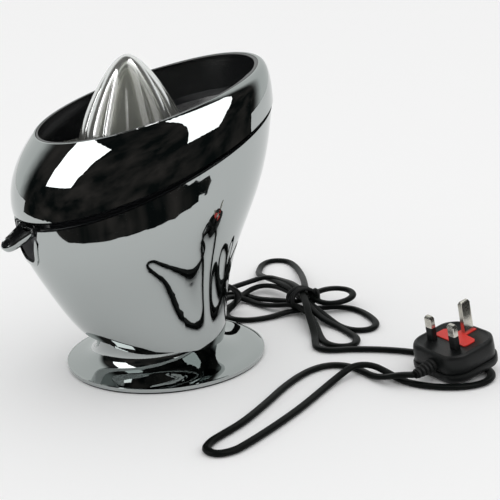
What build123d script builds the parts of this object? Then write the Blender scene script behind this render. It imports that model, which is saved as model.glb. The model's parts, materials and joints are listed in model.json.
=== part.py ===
"""Electric citrus press: a chrome, tilted-rim juicer that starts when the reamer is pressed.

Millimetres. Origin: centre of the round foot on the surface it stands on. +Z up.
-Y is the front, where the spout is; the mains lead leaves the back, +Y.
"""
from build123d import *
from math import cos, radians, sin, sqrt, tan
import os

os.makedirs("parts", exist_ok=True)

# ---------------------------------------------------------------- driving dimensions
FOOT_R = 71.5          # round foot
FOOT_LIP = 3.6         # height of the foot's thin vertical edge
PAD = 1.4              # rubber pad under the foot
SCREW_RING = 60.0      # radius at which the foot's screws stand
SHELL = 2.2            # body wall
BAND = 1.6             # splash band wall
LINER = 2.0            # bowl wall
DECK_GAP = 1.2         # air between the lift-off bowl and the deck under it
DRIVE_Y = -11.7        # the drive shaft and the reamers turn on this axis, x = 0
SHAFT_R = 5.0
RUN = 0.05             # radial clearance of a running fit
CORD_D = 4.2           # round stand-in for a flat 5.6 x 3.4 two-core lead
STRAINER_Z = 154.5     # underside of the strainer
LINER_TUBE_TOP = 149.0 # top of the tube that the shaft comes up through
REAMER_BASE = 160.0    # lower edge of the large reamer


def section(front_y, front_z, back_y, back_z, half_width):
    """A tilted oval: its front and back points on the centre plane, and its half width."""
    return (front_y, front_z, back_y, back_z, half_width)


# Body, from its lower edge to its upper edge under the band.
BODY = [
    section(-60.8, 30.8, 39.6, 15.4, 57.5),
    section(-73.8, 50.0, 45.0, 50.0, 62.0),
    section(-84.2, 69.0, 55.2, 86.0, 68.0),
    section(-92.9, 87.0, 71.2, 120.0, 75.0),
    section(-97.0, 101.0, 82.6, 152.0, 79.0),
    section(-98.2, 114.5, 88.0, 183.0, 81.5),
]
# Splash band, from its lower edge to the rim.
SPLASH = [
    section(-98.9, 120.9, 88.6, 186.5, 83.5),
    section(-90.5, 153.9, 83.5, 209.9, 77.0),
    section(-79.0, 169.7, 78.8, 208.9, 69.5),
]
BOWL_SHOULDER = section(-88.0, 115.6, 72.0, 158.0, 71.0)   # inside of the bowl, half way down
BOWL_FLOOR = section(-82.0, 113.0, 46.0, 133.0, 58.0)      # inside of the bowl, at its floor


def plane_of(s, lift=0.0):
    """The plane of a section, moved along its own normal by lift."""
    front_y, front_z, back_y, back_z, _ = s
    length = sqrt((back_y - front_y) ** 2 + (back_z - front_z) ** 2)
    normal = Vector(0, -(back_z - front_z) / length, (back_y - front_y) / length)
    middle = Vector(0, (front_y + back_y) / 2, (front_z + back_z) / 2) + normal * lift
    return Plane(origin=middle, x_dir=(1, 0, 0), z_dir=normal)


def half_length(s):
    return sqrt((s[2] - s[0]) ** 2 + (s[3] - s[1]) ** 2) / 2


def skin(sections, insets, lifts=None, ruled=False):
    """A private solid lofted through sections, each drawn in by an inset and moved by a lift."""
    lifts = lifts or [0.0] * len(sections)
    with BuildPart() as solid:
        for s, inset, lift in zip(sections, insets, lifts):
            with BuildSketch(plane_of(s, lift)):
                Ellipse(s[4] - inset, half_length(s) - inset)
        loft(ruled=ruled)
    return solid.part


def floor_z(y, drop=0.0):
    """Height of the bowl's floor at y, less a drop."""
    slope = (BOWL_FLOOR[3] - BOWL_FLOOR[1]) / (BOWL_FLOOR[2] - BOWL_FLOOR[0])
    return BOWL_FLOOR[1] + slope * (y - BOWL_FLOOR[0]) - drop


def save(builder, name):
    builder.part.label = name
    export_step(builder.part, f"parts/{name}.step")


def ring_solid(name, at, outer, inner, low, high):
    """A plain ring or, with inner 0, a plain disc, on a vertical axis at (x, y)."""
    with BuildPart() as ring:
        with BuildSketch(Plane.XY.offset(low)):
            with Locations(at):
                Circle(outer)
                if inner:
                    Circle(inner, mode=Mode.SUBTRACT)
        extrude(amount=high - low)
    save(ring, name)


# ---------------------------------------------------------------- foot
NECK = section(-51.2, 29.3, 29.6, 16.9, 44.0)              # top of the neck, on the body's base
PLATE = 2.8            # top of the bottom plate
SCREW_HEAD_R = 2.6
WEIGHT_AT = (0, -5)    # the steel weight sits under the neck
WEIGHT_R = 34.0


def foot_screw_places():
    return PolarLocations(SCREW_RING, 4, start_angle=45)


def foot_solid(inset, base, top_drop):
    with BuildPart() as solid:
        for z, radius, y in ((base, 71.0, 0), (5.6, 60.5, -1.5), (8.6, 50.0, -4.5), (14.0, 43.5, -7.0)):
            with BuildSketch(Plane(origin=(0, y, z - top_drop * (z > base)))):
                Circle(radius - inset)
        with BuildSketch(plane_of(NECK, -0.8 - top_drop)):
            Ellipse(NECK[4] - inset, half_length(NECK) - inset)
        loft()
    return solid.part


with BuildPart() as foot:
    add(foot_solid(0, FOOT_LIP, 0))
    with BuildSketch(Plane.XY.offset(PAD)):
        Circle(FOOT_R)
    extrude(amount=FOOT_LIP - PAD + 0.2)
    with BuildSketch(Plane.XY.offset(PAD)):
        Circle(FOOT_R - 4.5)
    extrude(amount=2.0, mode=Mode.SUBTRACT)
    with BuildSketch(Plane.XY.offset(PAD)):
        with Locations(WEIGHT_AT):
            Circle(WEIGHT_R + 2.0)
    extrude(amount=10.6, mode=Mode.SUBTRACT)
save(foot, "foot")

with BuildPart() as foot_pad:                              # rubber pad that the foot stands on
    with BuildSketch(Plane.XY):
        Circle(FOOT_R - 1.3)
        with foot_screw_places():
            Circle(SCREW_HEAD_R + 0.6, mode=Mode.SUBTRACT)
    extrude(amount=PAD)
save(foot_pad, "foot_pad")

ring_solid("bottom_plate", (0, 0), FOOT_R - 4.6, 0, PAD, PLATE)
ring_solid("counterweight", WEIGHT_AT, WEIGHT_R, 0, PLATE + 0.6, 10.4)

with BuildPart() as bottom_screws:
    with BuildSketch(Plane.XY.offset(PAD - 1.0)):
        with foot_screw_places():
            Circle(SCREW_HEAD_R)
    extrude(amount=1.0)
save(bottom_screws, "bottom_screws")

# ---------------------------------------------------------------- pocket for the folded spout
POCKET_TILT = 10.0
POCKET_HALF = 19.5     # half width at the body's top edge
POCKET_TAPER = 0.37    # how much each side draws in per millimetre down
POCKET_DROP = 23.0
POCKET_DEEP = 9.5
pocket_normal = Vector(0, -cos(radians(POCKET_TILT)), -sin(radians(POCKET_TILT)))
POCKET_FACE = Plane(origin=(0, BODY[-1][0], BODY[-1][1]), x_dir=(1, 0, 0), z_dir=pocket_normal)


def pocket_outline(grow):
    """A tapered U, open at the top: the shape of the folded spout, grown all round."""
    top, bottom = 9.0, -POCKET_DROP - grow
    wide = POCKET_HALF + POCKET_TAPER * top + grow
    narrow = POCKET_HALF + POCKET_TAPER * bottom + grow
    with BuildSketch() as outline:
        with BuildLine():
            FilletPolyline(
                (-wide, top), (-narrow, bottom), (narrow, bottom), (wide, top), radius=8.0 + grow
            )
            Line((wide, top), (-wide, top))
        make_face()
    return outline.sketch


def pocket_prism(grow, outer, inner):
    """The U outline pushed through from outer to inner, both measured outward from the face."""
    with BuildPart() as prism:
        with BuildSketch(POCKET_FACE.offset(inner)):
            add(pocket_outline(grow))
        extrude(amount=outer - inner)
    return prism.part


# ---------------------------------------------------------------- body shell
GLAND_R = 5.0
GLAND_OUT = Vector(-0.4, sqrt(1 - 0.4 ** 2), 0)            # the way the lead leaves the body
GLAND = Plane(origin=(-20.0, 39.2, 32.0), x_dir=(0, 0, 1), z_dir=GLAND_OUT)

with BuildPart() as body_shell:
    add(skin(BODY, [0] * len(BODY)))
    add(
        skin(BODY, [SHELL + 1.0] + [SHELL] * (len(BODY) - 1), [2.6] + [0] * (len(BODY) - 2) + [0.4]),
        mode=Mode.SUBTRACT,
    )
    add(pocket_prism(1.6, 12, -14), mode=Mode.SUBTRACT)
    with BuildSketch(GLAND.offset(-8.0)):
        Circle(GLAND_R)
    extrude(amount=16, mode=Mode.SUBTRACT)
save(body_shell, "body_shell")

with BuildPart() as pocket_insert:
    add(pocket_prism(1.5, -1.2, -POCKET_DEEP))
    add(pocket_prism(0.0, 0.0, -POCKET_DEEP + 1.4), mode=Mode.SUBTRACT)
    with BuildSketch(Plane.XY.offset(107.0)):
        with Locations((0, -92)):
            Rectangle(60, 40)
    extrude(amount=30, mode=Mode.SUBTRACT)
save(pocket_insert, "pocket_insert")

TRIM_WIDE = 3.0        # the trim lies on the shell all round the pocket

with BuildPart() as pocket_trim:
    add(pocket_prism(TRIM_WIDE, 3.0, -1.2))
    add(skin(BODY, [-0.8] * len(BODY)), mode=Mode.INTERSECT)
    add(body_shell.part, mode=Mode.SUBTRACT)
    add(pocket_prism(0.0, 4.0, -2.0), mode=Mode.SUBTRACT)
    with BuildSketch(Plane.XY.offset(111.0)):
        with Locations((0, -92)):
            Rectangle(60, 40)
    extrude(amount=30, mode=Mode.SUBTRACT)
save(pocket_trim, "pocket_trim")

# ---------------------------------------------------------------- gear train
OUTPUT_AT = (0.0, DRIVE_Y)
IDLER_AT = (19.5, DRIVE_Y - sqrt(27.0 ** 2 - 19.5 ** 2))
MOTOR_AT = (0.0, IDLER_AT[1] - sqrt(26.0 ** 2 - 19.5 ** 2))
TEETH = {"pinion": (14, 7.0), "idler": (38, 19.0), "idler_pinion": (12, 6.0), "output": (42, 21.0)}
GEAR_PLATE = 80.0      # underside of the gearbox
GEAR_TOP = 99.0        # top of its wall
COVER_TOP = 101.5


def gear(at, kind, low, high, bore):
    """A spur gear with square teeth that stop just short of the pitch line."""
    count, pitch_r = TEETH[kind]
    with BuildPart() as wheel:
        with BuildSketch(Plane.XY.offset(low)):
            with Locations(at):
                Circle(pitch_r - 1.0)
                with PolarLocations(pitch_r - 0.7, count):
                    Rectangle(1.2, 0.9)
                if bore:
                    Circle(bore, mode=Mode.SUBTRACT)
        extrude(amount=high - low)
    return wheel


LUGS = [(-28.0, -6.0), (27.0, 4.0), (0.0, -62.0)]


def gearbox_outline(margin, lugs=False):
    circles = [
        (OUTPUT_AT, TEETH["output"][1] + margin),
        (IDLER_AT, TEETH["idler"][1] + margin),
        (MOTOR_AT, TEETH["pinion"][1] + margin),
    ]
    if lugs:
        circles += [(at, 5.5) for at in LUGS]
    with BuildSketch() as outline:
        with BuildLine():
            for at, radius in circles:
                CenterArc(at, radius, 0, 360)
        make_hull()
    return outline.sketch


with BuildPart() as gearbox_case:
    with BuildSketch(Plane.XY.offset(GEAR_PLATE)):
        add(gearbox_outline(3.0))
    extrude(amount=GEAR_TOP - GEAR_PLATE)
    with BuildSketch(Plane.XY.offset(GEAR_PLATE + 2.5)):
        add(gearbox_outline(1.0))
    extrude(amount=20, mode=Mode.SUBTRACT)
    with BuildSketch(Plane.XY.offset(GEAR_PLATE)):
        with Locations(OUTPUT_AT):
            Circle(8.0)
        with Locations(IDLER_AT):
            Circle(2.0)
        with Locations(MOTOR_AT):
            Circle(2.5 + RUN)
        with Locations((-20, MOTOR_AT[1]), (20, MOTOR_AT[1])):
            Circle(2.0)
    extrude(amount=2.5, mode=Mode.SUBTRACT)
save(gearbox_case, "gearbox_case")

with BuildPart() as gearbox_cover:
    with BuildSketch(Plane.XY.offset(GEAR_TOP)):
        add(gearbox_outline(3.0, lugs=True))
        with Locations(OUTPUT_AT):
            Circle(SHAFT_R + 1.0, mode=Mode.SUBTRACT)
        with Locations(IDLER_AT):
            Circle(2.0, mode=Mode.SUBTRACT)
        with Locations(*LUGS):
            Circle(1.5, mode=Mode.SUBTRACT)
    extrude(amount=COVER_TOP - GEAR_TOP)
save(gearbox_cover, "gearbox_cover")

with BuildPart() as gearbox_screws:
    with BuildSketch(Plane.XY.offset(GEAR_TOP - 2.0)):
        with Locations(*LUGS):
            Circle(3.0)
    extrude(amount=2.0)
    with BuildSketch(Plane.XY.offset(GEAR_TOP)):
        with Locations(*LUGS):
            Circle(1.5)
    extrude(amount=7.0)
save(gearbox_screws, "gearbox_screws")

ring_solid("idler_pin", IDLER_AT, 2.0, 0, GEAR_PLATE, COVER_TOP)
save(gear(IDLER_AT, "idler", 84.0, 89.0, 2.0 + RUN), "idler_gear")
save(gear(IDLER_AT, "idler_pinion", 89.0, 98.0, 2.0 + RUN), "idler_pinion")
save(gear(MOTOR_AT, "pinion", 84.0, 89.0, 2.5), "motor_pinion")
save(gear(OUTPUT_AT, "output", 92.0, 96.5, SHAFT_R), "output_gear")

# ---------------------------------------------------------------- drive shaft and press switch
PLUNGER_R = 6.0
SHAFT_FOOT = 84.5
HEX_LOW = 146.0
HEX_TOP = 158.0
HEX_R = 4.0

with BuildPart() as drive_shaft:
    with BuildSketch(Plane.XY.offset(SHAFT_FOOT)):
        with Locations(OUTPUT_AT):
            Circle(4.0)
    extrude(amount=6.5)
    with BuildSketch(Plane.XY.offset(SHAFT_FOOT + 6.5)):
        with Locations(OUTPUT_AT):
            Circle(SHAFT_R)
    extrude(amount=HEX_LOW - SHAFT_FOOT - 6.5)
    with BuildSketch(Plane.XY.offset(HEX_LOW)):
        with Locations(OUTPUT_AT):
            RegularPolygon(HEX_R, 6)
    extrude(amount=HEX_TOP - HEX_LOW)
save(drive_shaft, "drive_shaft")

with BuildPart() as press_plunger:
    with BuildSketch(Plane.XY.offset(70.0)):
        with Locations(OUTPUT_AT):
            Circle(PLUNGER_R)
    extrude(amount=20.5)
    with BuildSketch(Plane.XY.offset(74.0)):
        with Locations(OUTPUT_AT):
            Circle(9.0)
    extrude(amount=2.0)
    with BuildSketch(Plane.XY.offset(SHAFT_FOOT)):
        with Locations(OUTPUT_AT):
            Circle(4.0 + RUN)
    extrude(amount=10, mode=Mode.SUBTRACT)
save(press_plunger, "press_plunger")

ring_solid("plunger_bush", OUTPUT_AT, 8.0, PLUNGER_R + RUN, 78.6, 84.0)
ring_solid("shaft_bush", OUTPUT_AT, 6.5, SHAFT_R + RUN, 136.0, 145.0)
ring_solid("cover_bush", OUTPUT_AT, SHAFT_R + 1.0, SHAFT_R + RUN, GEAR_TOP, COVER_TOP + 2.0)

BRACKET_Z = 51.0
LEVER_Y = 14.0
LEVER_Z = 73.1

with BuildPart() as frame_bracket:
    with BuildSketch(Plane.XY.offset(BRACKET_Z)):
        with Locations((0, 5)):
            Rectangle(30, 50)
    extrude(amount=3.0)
    with BuildSketch(Plane.XY.offset(BRACKET_Z + 3.0)):
        with Locations((-13.5, DRIVE_Y), (13.5, DRIVE_Y)):
            Rectangle(3, 12)
    extrude(amount=GEAR_PLATE - BRACKET_Z - 3.0)
    with BuildSketch(Plane.XY.offset(BRACKET_Z + 3.0)):
        with Locations((-8.0, LEVER_Y), (8.0, LEVER_Y)):
            Rectangle(2, 5)
    extrude(amount=22.0)
    with BuildSketch(Plane(origin=(-20, LEVER_Y, LEVER_Z), x_dir=(0, 1, 0), z_dir=(1, 0, 0))):
        Circle(0.8)
    extrude(amount=40, mode=Mode.SUBTRACT)
save(frame_bracket, "frame_bracket")

with BuildPart() as lever_pin:
    with BuildSketch(Plane(origin=(-9.5, LEVER_Y, LEVER_Z), x_dir=(0, 1, 0), z_dir=(1, 0, 0))):
        Circle(0.8)
    extrude(amount=19)
save(lever_pin, "lever_pin")

with BuildPart() as switch_lever:
    with BuildSketch(Plane(origin=(-6.5, LEVER_Y, LEVER_Z), x_dir=(0, 1, 0), z_dir=(1, 0, 0))):
        Circle(1.8)
    extrude(amount=13)
    with BuildSketch(Plane.XY.offset(LEVER_Z - 0.5)):
        with Locations((-4.5, 4.0), (4.5, 4.0)):
            Rectangle(4, 20)
    extrude(amount=1.0)
    with BuildSketch(Plane(origin=(-20, LEVER_Y, LEVER_Z), x_dir=(0, 1, 0), z_dir=(1, 0, 0))):
        Circle(0.8 + RUN)
    extrude(amount=40, mode=Mode.SUBTRACT)
save(switch_lever, "switch_lever")

with BuildPart() as microswitch:
    with BuildSketch(Plane.XY.offset(BRACKET_Z + 3.0)):
        with Locations((0, 5)):
            Rectangle(12, 12)
    extrude(amount=14.0)
    with BuildSketch(Plane.XY.offset(BRACKET_Z + 17.0)):
        with Locations((4.5, 3)):
            Circle(1.5)
    extrude(amount=2.2)
save(microswitch, "microswitch")

SPRING_LOW = BRACKET_Z + 3.0
SPRING_HIGH = 70.0
SPRING_R = 4.5
with BuildPart() as return_spring:
    with BuildLine(Plane(origin=(0, DRIVE_Y, SPRING_LOW + 0.5))):
        coil = Helix(pitch=3.0, height=SPRING_HIGH - SPRING_LOW - 1.0, radius=SPRING_R)
    with BuildSketch(Plane(origin=coil @ 0, z_dir=coil % 0)):
        Circle(0.45)
    sweep()
save(return_spring, "return_spring")

# ---------------------------------------------------------------- motor
STATOR_LOW = 56.0
STATOR_HIGH = 76.0

with BuildPart() as motor_stator:
    with BuildSketch(Plane.XY.offset(STATOR_LOW)):
        with Locations((0, MOTOR_AT[1] + 1)):
            RectangleRounded(48, 40, 4)
        with Locations(MOTOR_AT):
            Circle(13.6, mode=Mode.SUBTRACT)
        with Locations((-20, MOTOR_AT[1]), (20, MOTOR_AT[1])):
            Circle(2.0, mode=Mode.SUBTRACT)
    extrude(amount=STATOR_HIGH - STATOR_LOW)
save(motor_stator, "motor_stator")

with BuildPart() as motor_coils:
    for low, high in ((53.2, STATOR_LOW), (STATOR_HIGH, 79.4)):
        with BuildSketch(Plane.XY.offset(low)):
            with Locations(MOTOR_AT):
                Circle(16.3)
                Circle(14.2, mode=Mode.SUBTRACT)
        extrude(amount=high - low)
save(motor_coils, "motor_coils")

with BuildPart() as motor_rotor:
    with BuildSketch(Plane.XY.offset(57.0)):
        with Locations(MOTOR_AT):
            Circle(13.2)
    extrude(amount=18.0)
    with BuildSketch(Plane.XY.offset(49.0)):
        with Locations(MOTOR_AT):
            Circle(2.5)
    extrude(amount=45.0)
save(motor_rotor, "motor_rotor")

with BuildPart() as motor_bracket:
    with BuildSketch(Plane.XY.offset(49.0)):
        with Locations(MOTOR_AT):
            RectangleRounded(48, 14, 3)
            Circle(2.5 + RUN, mode=Mode.SUBTRACT)
        with Locations((-20, MOTOR_AT[1]), (20, MOTOR_AT[1])):
            Circle(2.0, mode=Mode.SUBTRACT)
    extrude(amount=2.5)
    with BuildSketch(Plane.XY.offset(51.5)):
        with Locations((-20, MOTOR_AT[1]), (20, MOTOR_AT[1])):
            Circle(3.5)
            Circle(2.0, mode=Mode.SUBTRACT)
    extrude(amount=STATOR_LOW - 51.5)
save(motor_bracket, "motor_bracket")

with BuildPart() as motor_bolts:
    for x in (-20, 20):
        with BuildSketch(Plane(origin=(x, MOTOR_AT[1], 49.0))):
            Circle(2.0)
        extrude(amount=GEAR_PLATE + 2.5 - 49.0)
        with BuildSketch(Plane(origin=(x, MOTOR_AT[1], 46.8))):
            Circle(3.4)
        extrude(amount=2.2)
        with BuildSketch(Plane(origin=(x, MOTOR_AT[1], STATOR_HIGH))):
            Circle(3.4)
        extrude(amount=GEAR_PLATE - STATOR_HIGH)
save(motor_bolts, "motor_bolts")

with BuildPart() as terminal_block:
    with BuildSketch(Plane.XY.offset(BRACKET_Z + 3.0)):
        with Locations((0, 23.5)):
            Rectangle(22, 10)
    extrude(amount=9.0)
    with BuildSketch(Plane.XY.offset(BRACKET_Z + 8.0)):
        with Locations((-7, 23.5), (0, 23.5), (7, 23.5)):
            Circle(1.8)
    extrude(amount=10, mode=Mode.SUBTRACT)
save(terminal_block, "terminal_block")

# ---------------------------------------------------------------- deck under the bowl
TOP = BODY[-1]
DRY_SIDE = [TOP, BOWL_SHOULDER, BOWL_FLOOR]


def tray(gap, rim_inset):
    """The bowl's underside shape, grown outward by gap."""
    return skin(DRY_SIDE, [rim_inset, -gap, -gap], [0.4, -gap * 0.6, -gap], ruled=True)


HUB_R = 7.8

with BuildPart() as deck:
    add(tray(LINER + DECK_GAP + 2.0, SHELL))
    for x, y in LUGS:
        with BuildSketch(Plane(origin=(x, y, COVER_TOP))):
            Circle(4.0)
        extrude(amount=floor_z(y) - COVER_TOP)
    with BuildSketch(Plane.XY.offset(COVER_TOP)):
        with Locations(*LUGS):
            Circle(1.5)
    extrude(amount=4.5, mode=Mode.SUBTRACT)
    add(tray(LINER + DECK_GAP, SHELL + 2.6), mode=Mode.SUBTRACT)
    with BuildSketch(Plane.XY.offset(floor_z(DRIVE_Y, 5.0))):
        with Locations(OUTPUT_AT):
            Circle(HUB_R)
    extrude(amount=145.0 - floor_z(DRIVE_Y, 5.0))
    with BuildSketch(Plane.XY.offset(100)):
        with Locations(OUTPUT_AT):
            Circle(6.5)
    extrude(amount=60, mode=Mode.SUBTRACT)
    add(pocket_prism(1.6, 12, -14), mode=Mode.SUBTRACT)
save(deck, "deck")

# ---------------------------------------------------------------- bowl unit, which lifts off
STEP = 7.2             # how far the bowl steps in under the band's lower edge


def bowl_form(skin_out, floor_out):
    """The bowl's shape below and inside the band, drawn in by skin_out, its lower part grown."""
    low = skin(
        [BOWL_FLOOR, BOWL_SHOULDER, TOP, SPLASH[0]],
        [-floor_out, -floor_out, STEP + LINER - floor_out, skin_out],
        [-floor_out, -floor_out * 0.6, 1.0, 0],
        ruled=True,
    )
    high = skin(SPLASH, [skin_out, skin_out, skin_out - 0.1 - 1.1 * (floor_out == 0)], [0, 0, 0])
    return low + high


with BuildPart() as splash_band:
    add(skin(SPLASH, [0, 0, 0]))
    add(skin(SPLASH, [BAND, BAND, BAND], [-0.3, 0, 0.3]), mode=Mode.SUBTRACT)
save(splash_band, "splash_band")

HINGE_Y = -93.5        # the spout's hinge
HINGE_Z = BODY[-1][1] - 0.5
PIN_R = 1.2
EAR_IN, EAR_OUT = 13.1, 16.0
TUBE_R, TUBE_BORE = 10.5, 8.5
OUTLET_LOW = BOWL_FLOOR[1] + 0.6

with BuildPart() as bowl_liner:
    add(bowl_form(BAND + 0.4, LINER))
    for side in (-1, 1):
        with BuildSketch(Plane.XY.offset(HINGE_Z - 2.6)):
            with Locations((side * (EAR_IN + EAR_OUT) / 2, HINGE_Y + 3.5)):
                Rectangle(EAR_OUT - EAR_IN, 12)
        extrude(amount=5.2)
    with BuildSketch(Plane.XY.offset(OUTLET_LOW - 2.0)):
        with Locations((0, -86.5)):
            Rectangle(20, 12)
    extrude(amount=5.5)
    add(bowl_form(BAND + 2.6, 0), mode=Mode.SUBTRACT)
    with BuildSketch(Plane.XY.offset(OUTLET_LOW)):
        with Locations((0, -87)):
            Rectangle(16, 18)
    extrude(amount=4.4, mode=Mode.SUBTRACT)
    with BuildSketch(Plane(origin=(-20, HINGE_Y, HINGE_Z), x_dir=(0, 1, 0), z_dir=(1, 0, 0))):
        Circle(PIN_R)
    extrude(amount=40, mode=Mode.SUBTRACT)
    with BuildSketch(Plane.XY.offset(floor_z(DRIVE_Y, 1.5))):
        with Locations(OUTPUT_AT):
            Circle(TUBE_R)
    extrude(amount=LINER_TUBE_TOP - floor_z(DRIVE_Y, 1.5))
    with BuildSketch(Plane.XY.offset(100)):
        with Locations(OUTPUT_AT):
            Circle(TUBE_BORE)
    extrude(amount=60, mode=Mode.SUBTRACT)
save(bowl_liner, "bowl_liner")

# ---------------------------------------------------------------- spout, folds into the pocket
SPOUT_DROP = 30.0      # the pouring spout points this far below level
SPOUT_LONG = 22.0
SPOUT_HALF = 12.9      # half width at the hinge
SPOUT_TAPER = 0.3
SPOUT_LIP = 1.4        # its walls stand this far over the hinge's axis
SPOUT_UNDER = -4.4     # its underside
SPOUT_WALL = 1.6
SPOUT_BACK = 1.6       # its floor starts this far out from the hinge's axis
spout_up = Vector(0, -sin(radians(SPOUT_DROP)), cos(radians(SPOUT_DROP)))
SPOUT = Plane(origin=(0, HINGE_Y, HINGE_Z), x_dir=(1, 0, 0), z_dir=spout_up)


def tongue(inset):
    """The spout's outline seen square on, drawn in by inset: tapered, with a rounded tip."""
    back, tip = -SPOUT_BACK, -SPOUT_LONG + inset
    wide = SPOUT_HALF + SPOUT_TAPER * back - inset
    narrow = SPOUT_HALF + SPOUT_TAPER * tip - inset
    with BuildSketch() as outline:
        with BuildLine():
            FilletPolyline((-wide, back), (-narrow, tip), (narrow, tip), (wide, back), radius=7.0 - inset)
            Line((wide, back), (-wide, back))
        make_face()
    return outline.sketch


def across_hinge(x):
    """The plane square to the hinge's axis at x, with its own x pointing back along the spout."""
    return Plane(origin=(x, HINGE_Y, HINGE_Z), x_dir=SPOUT.y_dir, z_dir=(1, 0, 0))


with BuildPart() as spout:
    with BuildSketch(SPOUT.offset(SPOUT_UNDER)):
        add(tongue(0))
    extrude(amount=SPOUT_LIP - SPOUT_UNDER)
    with BuildSketch(SPOUT.offset(SPOUT_UNDER + SPOUT_WALL)):
        add(tongue(SPOUT_WALL))
        with Locations((0, -SPOUT_BACK)):
            Rectangle(2 * (SPOUT_HALF - 2 * SPOUT_WALL), 6)
    extrude(amount=8, mode=Mode.SUBTRACT)
    for x in (-SPOUT_HALF, SPOUT_HALF - 1.9):
        with BuildSketch(across_hinge(x)):
            Circle(2.4)
            with Locations((-1.6, 0)):
                Rectangle(3.2, 4.8)
        extrude(amount=1.9)
    with BuildSketch(across_hinge(-30)):
        Circle(PIN_R + RUN)
    extrude(amount=60, mode=Mode.SUBTRACT)
save(spout, "spout")

with BuildPart() as spout_pins:
    for x in (-EAR_OUT, 10.6):
        with BuildSketch(Plane(origin=(x, HINGE_Y, HINGE_Z), x_dir=(0, 1, 0), z_dir=(1, 0, 0))):
            Circle(PIN_R)
        extrude(amount=EAR_OUT - 10.6)
save(spout_pins, "spout_pins")

# ---------------------------------------------------------------- strainer and reamers
OPENING_BACK = SPLASH[2][2] - 4.2
OPENING_FRONT = SPLASH[2][0] + 4.6
OPENING_HALF = SPLASH[2][4] - 4.6
STRAINER_THICK = 2.0
BUSH_R = 13.9
CONE_HUB_R = 11.0

with BuildPart() as strainer:
    with BuildSketch(Plane.XY.offset(STRAINER_Z)):
        with Locations((0, (OPENING_FRONT + OPENING_BACK) / 2)):
            Ellipse(OPENING_HALF, (OPENING_BACK - OPENING_FRONT) / 2)
    extrude(amount=STRAINER_THICK)
    add(bowl_form(BAND + 3.6, -1.0), mode=Mode.INTERSECT)
    with BuildSketch(Plane.XY.offset(STRAINER_Z)):
        with Locations(OUTPUT_AT):
            with PolarLocations(26.0, 20):
                SlotOverall(14, 2.0)
            with PolarLocations(48.0, 36):
                SlotOverall(16, 2.0)
    extrude(amount=STRAINER_THICK, mode=Mode.SUBTRACT)
    with BuildSketch(Plane.XY.offset(149.8)):
        with Locations(OUTPUT_AT):
            Circle(BUSH_R + 2.6)
    extrude(amount=STRAINER_Z + STRAINER_THICK - 149.8)
    with BuildSketch(Plane.XY.offset(140)):
        with Locations(OUTPUT_AT):
            Circle(BUSH_R + RUN)
    extrude(amount=30, mode=Mode.SUBTRACT)
save(strainer, "strainer")

ring_solid("strainer_bush", OUTPUT_AT, BUSH_R, CONE_HUB_R + RUN, 150.0, 158.0)

REAMER_SIDE = Plane(origin=(0, DRIVE_Y, 0), x_dir=(1, 0, 0), z_dir=(0, -1, 0))
REAMER_AXIS = Axis((0, DRIVE_Y, 0), (0, 0, 1))


def bell(profile, base, across=1.0, up=1.0):
    """A private solid bell turned about the drive axis from its outline, scaled about its base."""
    profile = [(r * across, base + (z - base) * up) for r, z in profile]
    with BuildPart() as solid:
        with BuildSketch(REAMER_SIDE):
            with BuildLine():
                Bezier(*profile)
                Polyline(profile[-1], (0, base), profile[0])
            make_face()
        revolve(axis=REAMER_AXIS)
    return solid.part


LARGE = [(0, 219.6), (13.6, 219.6), (39.2, 172), (37.7, REAMER_BASE)]
SMALL_BASE = 161.3
SMALL = [(0, 211.5), (7, 211.5), (22, 185), (26, SMALL_BASE)]

with BuildPart() as large_reamer:
    add(bell(LARGE, REAMER_BASE))
    add(bell(LARGE, REAMER_BASE, 0.945, 0.965), mode=Mode.SUBTRACT)
save(large_reamer, "large_reamer")

with BuildPart() as small_reamer:
    add(bell(SMALL, SMALL_BASE))
    add(bell(SMALL, SMALL_BASE, 0.92, 0.96), mode=Mode.SUBTRACT)
    with BuildSketch(Plane.XY.offset(SMALL_BASE)):
        with Locations(OUTPUT_AT):
            Circle(25.0)
    extrude(amount=2.0)
    with BuildSketch(Plane.XY.offset(152.5)):
        with Locations(OUTPUT_AT):
            Circle(CONE_HUB_R)
    extrude(amount=SMALL_BASE - 152.5)
    with BuildSketch(Plane.XY.offset(152.5)):
        with Locations(OUTPUT_AT):
            RegularPolygon(HEX_R + 0.1, 6)
    extrude(amount=HEX_TOP - 152.5 + 0.5, mode=Mode.SUBTRACT)
save(small_reamer, "small_reamer")

# ---------------------------------------------------------------- mains lead
GLAND_REACH = 17.0     # the gland's boot ends this far out from the body

with BuildPart() as cord_gland:
    for low, high, radius in ((-7.4, -5.4, 7.0), (-5.4, 3.2, GLAND_R), (3.2, 4.8, 6.0)):
        with BuildSketch(GLAND.offset(low)):
            Circle(radius)
        extrude(amount=high - low)
    with BuildSketch(GLAND.offset(4.8)):
        Circle(4.6)
    with BuildSketch(GLAND.offset(GLAND_REACH)):
        Circle(3.2)
    loft()
save(cord_gland, "cord_gland")

PLUG_TILT = 10.0       # the plug leans because its lead runs under its far end
PLUG_TURN = 2.5
plug_u = Vector(cos(radians(PLUG_TURN)), sin(radians(PLUG_TURN)), 0)
plug_v = Vector(-sin(radians(PLUG_TURN)), cos(radians(PLUG_TURN)), 0)
plug_n = plug_v * -sin(radians(PLUG_TILT)) + Vector(0, 0, 1) * cos(radians(PLUG_TILT))
PLUG = Plane(origin=(151.1, 122.3, 0.4), x_dir=plug_u, z_dir=plug_n)
PLUG_THICK = 19.0
COVER_THICK = 6.0
RELIEF_LONG = 15.0
RELIEF_SIDE = 2.7
RELIEF_HIGH = 10.0
SLEEVE = 9.5
FLAT_LONG, EARTH_LONG = 17.7, 22.7
PIN_SIDE, PIN_LOW, PIN_EARTH = 11.11, 15.0, 37.2


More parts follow.
